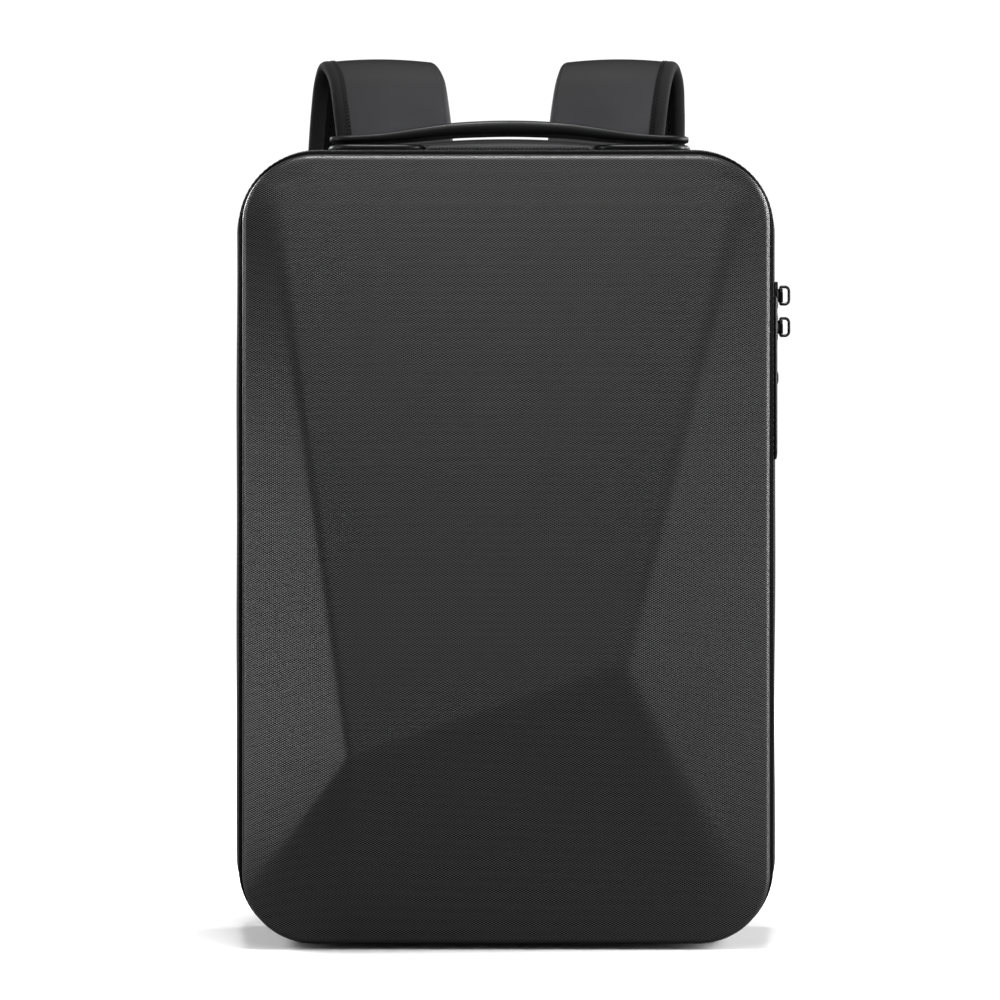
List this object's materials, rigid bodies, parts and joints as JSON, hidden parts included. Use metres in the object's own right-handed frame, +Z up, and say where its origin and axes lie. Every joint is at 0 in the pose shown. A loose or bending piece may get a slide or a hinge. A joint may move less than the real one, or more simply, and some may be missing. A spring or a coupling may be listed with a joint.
{
  "type": "hard shell backpack",
  "caption": "Upright backpack with a faceted moulded front shell, zipped fabric body, carrying handle and padded shoulder straps.",
  "frame": {"origin": "on the floor, under the middle of the fabric body", "axes": "+X towards the side with the zip sliders, seen on the right from the front; +Y from the shell to the straps; +Z up"},
  "size_m": [0.3284, 0.2117, 0.5273],
  "materials": {
    "shell": "moulded shell with a fine woven emboss, satin",
    "body_fabric": "black woven polyester",
    "tape": "black twill tape and webbing",
    "zip_plastic": "black nylon zip coil",
    "air_mesh": "black padded air mesh",
    "strap_fabric": "smooth dark grey coated fabric over foam",
    "handle_rubber": "satin moulded rubber",
    "hard_plastic": "black moulded plastic, satin",
    "dark_metal": "black plated metal"
  },
  "bodies": {
    "bag": {"front_shell": "shell", "front_gusset": "body_fabric", "main_gusset": "body_fabric", "rear_piping": "body_fabric", "top_band": "body_fabric", "zip_tape": "tape", "zip_teeth": "zip_plastic", "back_panel": "air_mesh", "top_handle": "handle_rubber", "handle_plate_left": "hard_plastic", "handle_plate_right": "hard_plastic", "handle_post_left": "hard_plastic", "handle_post_right": "hard_plastic", "side_plate": "hard_plastic", "side_plate_rivet": "dark_metal", "zip_slider_upper": "dark_metal", "zip_slider_lower": "dark_metal", "strap_left": "strap_fabric", "strap_right": "strap_fabric", "strap_binding_left": "tape", "strap_binding_right": "tape", "strap_anchor_left": "body_fabric", "strap_anchor_right": "body_fabric", "buckle_left": "hard_plastic", "buckle_right": "hard_plastic", "webbing_left": "tape", "webbing_right": "tape", "lower_tab_left": "body_fabric", "lower_tab_right": "body_fabric"},
    "upper_pull": {"zip_pull_upper": "dark_metal"},
    "lower_pull": {"zip_pull_lower": "dark_metal"}
  },
  "joints": [
    {"name": "upper_pull_swing", "type": "hinge", "parent": "bag", "child": "upper_pull", "pos_m": [0.16113, -0.03199, 0.37775], "axis": [0, 0, 1], "range_deg": [-80, 80]},
    {"name": "lower_pull_swing", "type": "hinge", "parent": "bag", "child": "lower_pull", "pos_m": [0.16113, -0.03199, 0.35925], "axis": [0, 0, 1], "range_deg": [-80, 80]}
  ]
}
